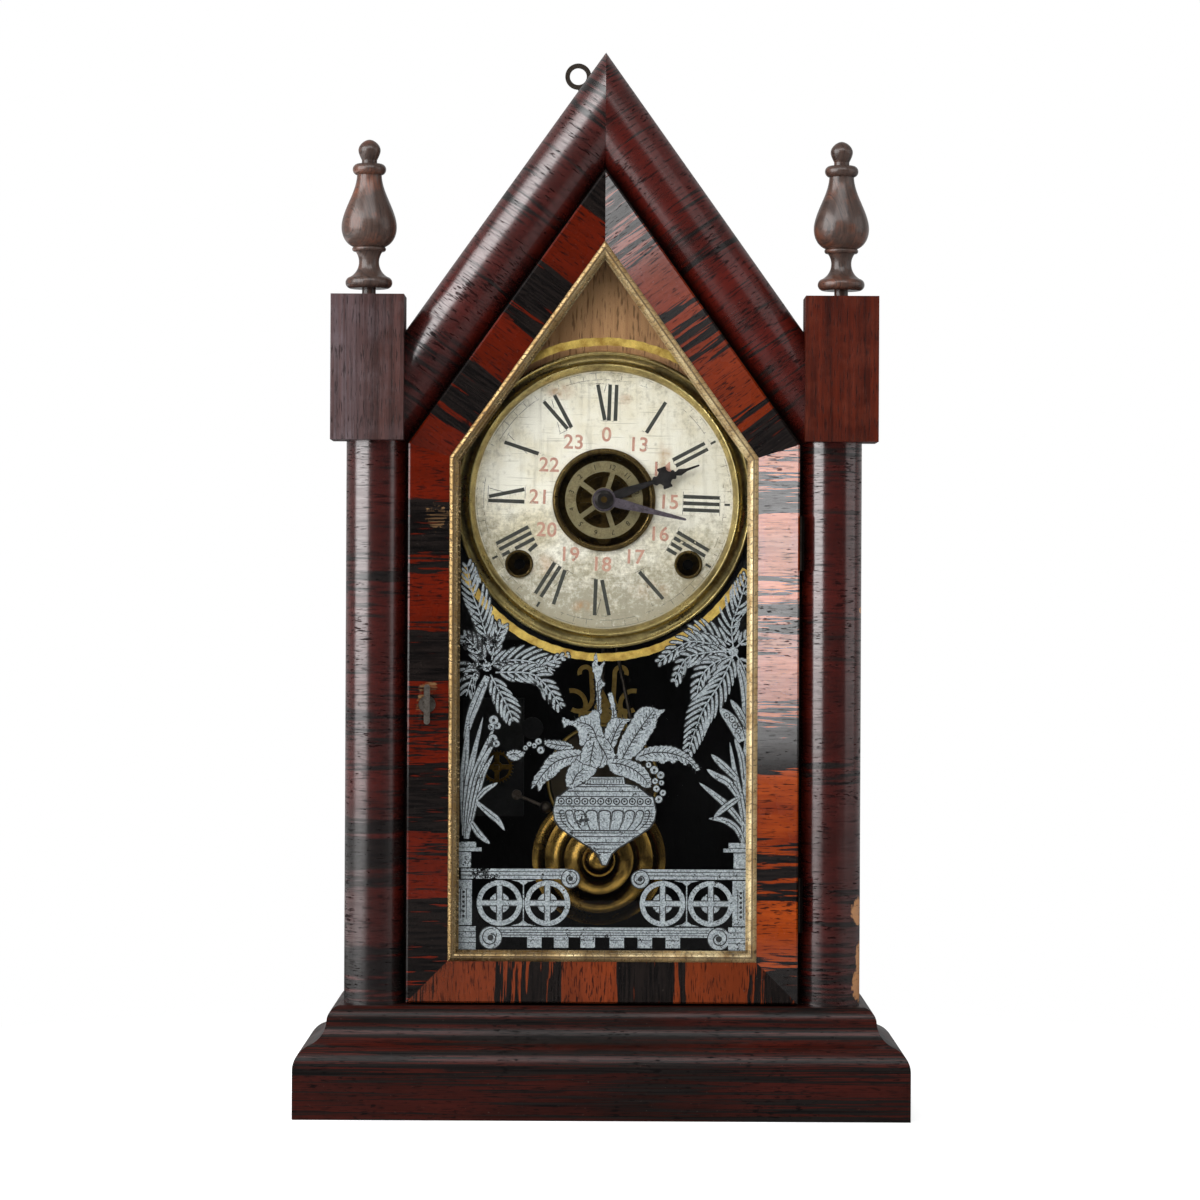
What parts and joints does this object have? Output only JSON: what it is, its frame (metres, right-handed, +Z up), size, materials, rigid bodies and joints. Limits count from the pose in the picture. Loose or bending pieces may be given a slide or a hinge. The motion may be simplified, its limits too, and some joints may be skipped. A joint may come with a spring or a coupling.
{
  "type": "shelf clock",
  "caption": "Gothic shelf clock: pointed wooden case with half-round columns and turned finials, hinged glazed door, painted dial, pendulum striking movement and alarm.",
  "frame": {"origin": "middle of the base, on the surface it stands on", "axes": "+X to the right of a person facing the dial, +Y to the back, +Z up"},
  "size_m": [0.2914, 0.116, 0.5123],
  "materials": {
    "case_veneer": "dark red-brown mahogany veneer under old satin lacquer",
    "finial_wood": "turned dark brown wood, dull",
    "carcass_wood": "plain brown softwood boards",
    "door_veneer": "orange-red crossbanded veneer with dark stripes, lacquered",
    "gilt": "gold leaf on a moulded wooden bead, cracked across",
    "glass": "old clear sheet glass with a printed picture",
    "dial_paint": "aged cream paint on thin sheet, worn print",
    "aged_brass": "antique brass",
    "hinge_metal": "blackened brass",
    "movement_brass": "stamped clock brass",
    "steel": "grey steel",
    "bob_silver": "stamped sheet with a tarnished silvered face",
    "hand_steel": "blued steel, worn"
  },
  "bodies": {
    "case": {"base_front_moulding": "case_veneer", "base_side_mouldings": "case_veneer", "left_column": "case_veneer", "right_column": "case_veneer", "left_capital": "case_veneer", "right_capital": "case_veneer", "left_gable_moulding": "case_veneer", "right_gable_moulding": "case_veneer", "left_finial": "finial_wood", "right_finial": "finial_wood", "bottom_board": "carcass_wood", "left_side_board": "carcass_wood", "right_side_board": "carcass_wood", "left_roof_board": "carcass_wood", "right_roof_board": "carcass_wood", "backboard": "carcass_wood", "front_frame": "carcass_wood", "dial_board": "carcass_wood", "dial_plate": "dial_paint", "dial_bezel": "aged_brass", "dial_grommets": "aged_brass", "bell": "aged_brass", "case_hinge_leaves": "hinge_metal", "movement_front_plate": "movement_brass", "movement_back_plate": "movement_brass", "alarm_frame": "movement_brass", "mainsprings": "steel", "bell_post": "steel", "case_screws": "steel", "hanging_eye": "steel"},
    "door": {"door_left_stile": "door_veneer", "door_right_stile": "door_veneer", "door_bottom_rail": "door_veneer", "door_left_rafter": "door_veneer", "door_right_rafter": "door_veneer", "gilt_bead": "gilt", "door_glass": "glass", "door_hinge_leaves": "hinge_metal"},
    "latch": {"latch_turn": "aged_brass"},
    "center": {"center_wheel": "movement_brass", "minute_hand": "hand_steel"},
    "hour": {"hour_wheel": "movement_brass", "hour_hand": "hand_steel"},
    "alarm_setting": {"alarm_disc": "aged_brass"},
    "time_great": {"time_great_wheel": "movement_brass"},
    "time_winding": {"time_winding_arbor": "steel"},
    "time_second": {"time_second_wheel": "movement_brass"},
    "third": {"third_wheel": "movement_brass"},
    "escape": {"escape_wheel": "movement_brass"},
    "minute_wheel": {"minute_wheel": "movement_brass"},
    "verge": {"verge": "steel"},
    "pendulum": {"pendulum_rod": "steel", "pendulum_bob": "bob_silver"},
    "strike_great": {"strike_great_wheel": "movement_brass"},
    "strike_winding": {"strike_winding_arbor": "steel"},
    "strike_second": {"strike_second_wheel": "movement_brass"},
    "fly": {"strike_fly": "movement_brass"},
    "hammer": {"strike_hammer": "steel"},
    "alarm_train": {"alarm_wheel": "movement_brass"},
    "alarm_striker": {"alarm_hammer": "steel"}
  },
  "joints": [
    {"name": "door_swing", "type": "hinge", "parent": "case", "child": "door", "pos_m": [0.09435, -0.0339, 0.15], "axis": [0, 0, 1], "range_deg": [0, 90]},
    {"name": "latch_turn", "type": "hinge", "parent": "door", "child": "latch", "pos_m": [-0.08384, 0, 0.1952], "axis": [0, 1, 0], "range_deg": [0, 90]},
    {"name": "minute_turn", "type": "hinge", "parent": "case", "child": "center", "pos_m": [0, 0, 0.2934], "axis": [0, 1, 0], "continuous": true},
    {"name": "hour_turn", "type": "hinge", "parent": "case", "child": "hour", "pos_m": [0, 0, 0.2934], "axis": [0, 1, 0], "continuous": true},
    {"name": "alarm_setting_turn", "type": "hinge", "parent": "hour", "child": "alarm_setting", "pos_m": [0, 0, 0.2934], "axis": [0, 1, 0], "continuous": true},
    {"name": "time_great_turn", "type": "hinge", "parent": "case", "child": "time_great", "pos_m": [0.0407, 0, 0.2625], "axis": [0, 1, 0], "continuous": true},
    {"name": "time_winding_turn", "type": "hinge", "parent": "time_great", "child": "time_winding", "pos_m": [0.0407, 0, 0.2625], "axis": [0, 1, 0], "continuous": true},
    {"name": "time_second_turn", "type": "hinge", "parent": "case", "child": "time_second", "pos_m": [0.02251, 0, 0.28822], "axis": [0, 1, 0], "continuous": true},
    {"name": "third_turn", "type": "hinge", "parent": "case", "child": "third", "pos_m": [0.00771, 0, 0.314], "axis": [0, 1, 0], "continuous": true},
    {"name": "escape_turn", "type": "hinge", "parent": "case", "child": "escape", "pos_m": [0, 0, 0.333], "axis": [0, 1, 0], "continuous": true},
    {"name": "minute_wheel_turn", "type": "hinge", "parent": "case", "child": "minute_wheel", "pos_m": [0, 0, 0.2766], "axis": [0, 1, 0], "continuous": true},
    {"name": "pendulum_swing", "type": "hinge", "parent": "case", "child": "pendulum", "pos_m": [0, 0, 0.351], "axis": [0, 1, 0], "range_deg": [-3, 3]},
    {"name": "verge_rock", "type": "hinge", "parent": "case", "child": "verge", "pos_m": [0, 0, 0.351], "axis": [0, 1, 0], "range_deg": [-3, 3]},
    {"name": "strike_great_turn", "type": "hinge", "parent": "case", "child": "strike_great", "pos_m": [-0.0407, 0, 0.2625], "axis": [0, 1, 0], "continuous": true},
    {"name": "strike_winding_turn", "type": "hinge", "parent": "strike_great", "child": "strike_winding", "pos_m": [-0.0407, 0, 0.2625], "axis": [0, 1, 0], "continuous": true},
    {"name": "strike_second_turn", "type": "hinge", "parent": "case", "child": "strike_second", "pos_m": [-0.02251, 0, 0.28822], "axis": [0, 1, 0], "continuous": true},
    {"name": "fly_turn", "type": "hinge", "parent": "case", "child": "fly", "pos_m": [-0.03392, 0, 0.30513], "axis": [0, 1, 0], "continuous": true},
    {"name": "hammer_lift", "type": "hinge", "parent": "case", "child": "hammer", "pos_m": [0, 0, 0.252], "axis": [0, -1, 0], "range_deg": [0, 12]},
    {"name": "alarm_wheel_turn", "type": "hinge", "parent": "case", "child": "alarm_train", "pos_m": [-0.052, 0, 0.163], "axis": [0, 1, 0], "continuous": true},
    {"name": "alarm_hammer_rock", "type": "hinge", "parent": "case", "child": "alarm_striker", "pos_m": [-0.042, 0, 0.15], "axis": [0, -1, 0], "range_deg": [0, 12]}
  ],
  "couplings": [
    {"joint": "hour_turn", "follows": "minute_turn", "ratio": 0.083333},
    {"joint": "minute_wheel_turn", "follows": "minute_turn", "ratio": -0.33333},
    {"joint": "time_second_turn", "follows": "minute_turn", "ratio": -0.375},
    {"joint": "time_great_turn", "follows": "minute_turn", "ratio": 0.0625},
    {"joint": "third_turn", "follows": "minute_turn", "ratio": -9},
    {"joint": "escape_turn", "follows": "minute_turn", "ratio": 114},
    {"joint": "verge_rock", "follows": "pendulum_swing", "ratio": 1},
    {"joint": "strike_second_turn", "follows": "strike_great_turn", "ratio": -6},
    {"joint": "fly_turn", "follows": "strike_great_turn", "ratio": 45}
  ]
}
